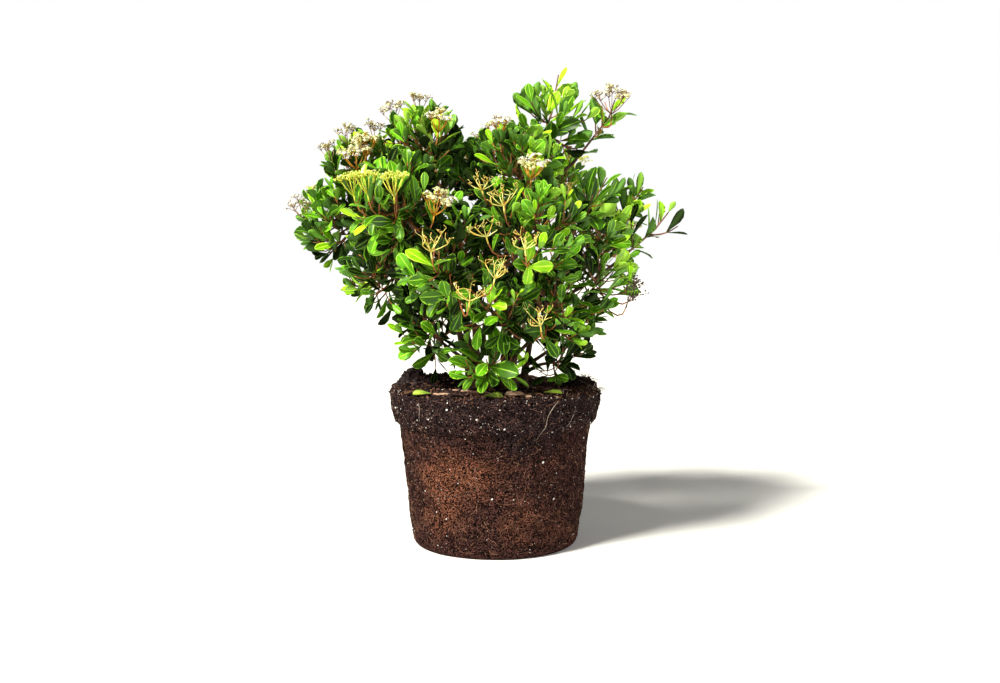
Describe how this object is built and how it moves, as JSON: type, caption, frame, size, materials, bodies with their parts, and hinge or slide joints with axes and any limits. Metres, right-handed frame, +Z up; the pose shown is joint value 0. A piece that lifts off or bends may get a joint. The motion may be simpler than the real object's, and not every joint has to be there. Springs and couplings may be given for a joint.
{
  "type": "viburnum shrub on root ball",
  "caption": "Bushy evergreen viburnum with flat heads of small blossom, many slim stems and small leaves, standing bare of its pot on a pot-shaped root ball.",
  "frame": {"origin": "middle of the root ball's flat underside", "axes": "+Z up along the shrub, -Y towards the front, the side that the picture shows, +X to the right of it"},
  "size_m": [0.5081, 0.43, 0.6205],
  "materials": {
    "soil": "damp, fibrous bark and peat mix, flecked with white grains",
    "bark": "rough brown bark, reddish on young wood",
    "foliage": "semi-gloss leaves, paler beneath"
  },
  "bodies": {
    "root": {"root_ball": "soil", "stem_left": "bark", "stem_front_left": "bark", "stem_front": "bark", "stem_right": "bark", "stem_centre": "bark", "stem_back_left": "bark", "stem_back_right": "bark", "stem_low": "bark", "bough_far_left": "bark", "bough_left_top": "bark", "bough_left_low": "bark", "bough_left_base": "bark", "bough_front_left": "bark", "bough_front_low": "bark", "bough_front_top": "bark", "bough_low_front_right": "bark", "bough_front_right_base": "bark", "bough_centre_top": "bark", "bough_high_right": "bark", "bough_right_sprig": "bark", "bough_far_right": "bark", "bough_right_low": "bark", "bough_right_base": "bark", "bough_back_left": "bark", "bough_back_left_low": "bark", "bough_back_middle": "bark", "bough_back_right": "bark", "bough_back_right_low": "bark", "leaves_far_left": "foliage", "leaves_left_shoulder": "foliage", "leaves_left_top": "foliage", "leaves_left_front": "foliage", "leaves_left_low": "foliage", "leaves_left_base": "foliage", "leaves_front_left": "foliage", "leaves_front_low": "foliage", "leaves_front_base": "foliage", "leaves_front_right": "foliage", "leaves_front_top": "foliage", "leaves_low_front_right": "foliage", "leaves_front_right_base": "foliage", "leaves_centre_top": "foliage", "leaves_tall_shoot": "foliage", "leaves_high_right": "foliage", "leaves_right_shoulder": "foliage", "leaves_right_sprig": "foliage", "leaves_far_right": "foliage", "leaves_right_low": "foliage", "leaves_right_base": "foliage", "leaves_back_left_top": "foliage", "leaves_back_left": "foliage", "leaves_back_left_low": "foliage", "leaves_back_right_top": "foliage", "leaves_back_middle": "foliage", "leaves_back_right": "foliage", "leaves_back_right_low": "foliage"}
  },
  "joints": []
}
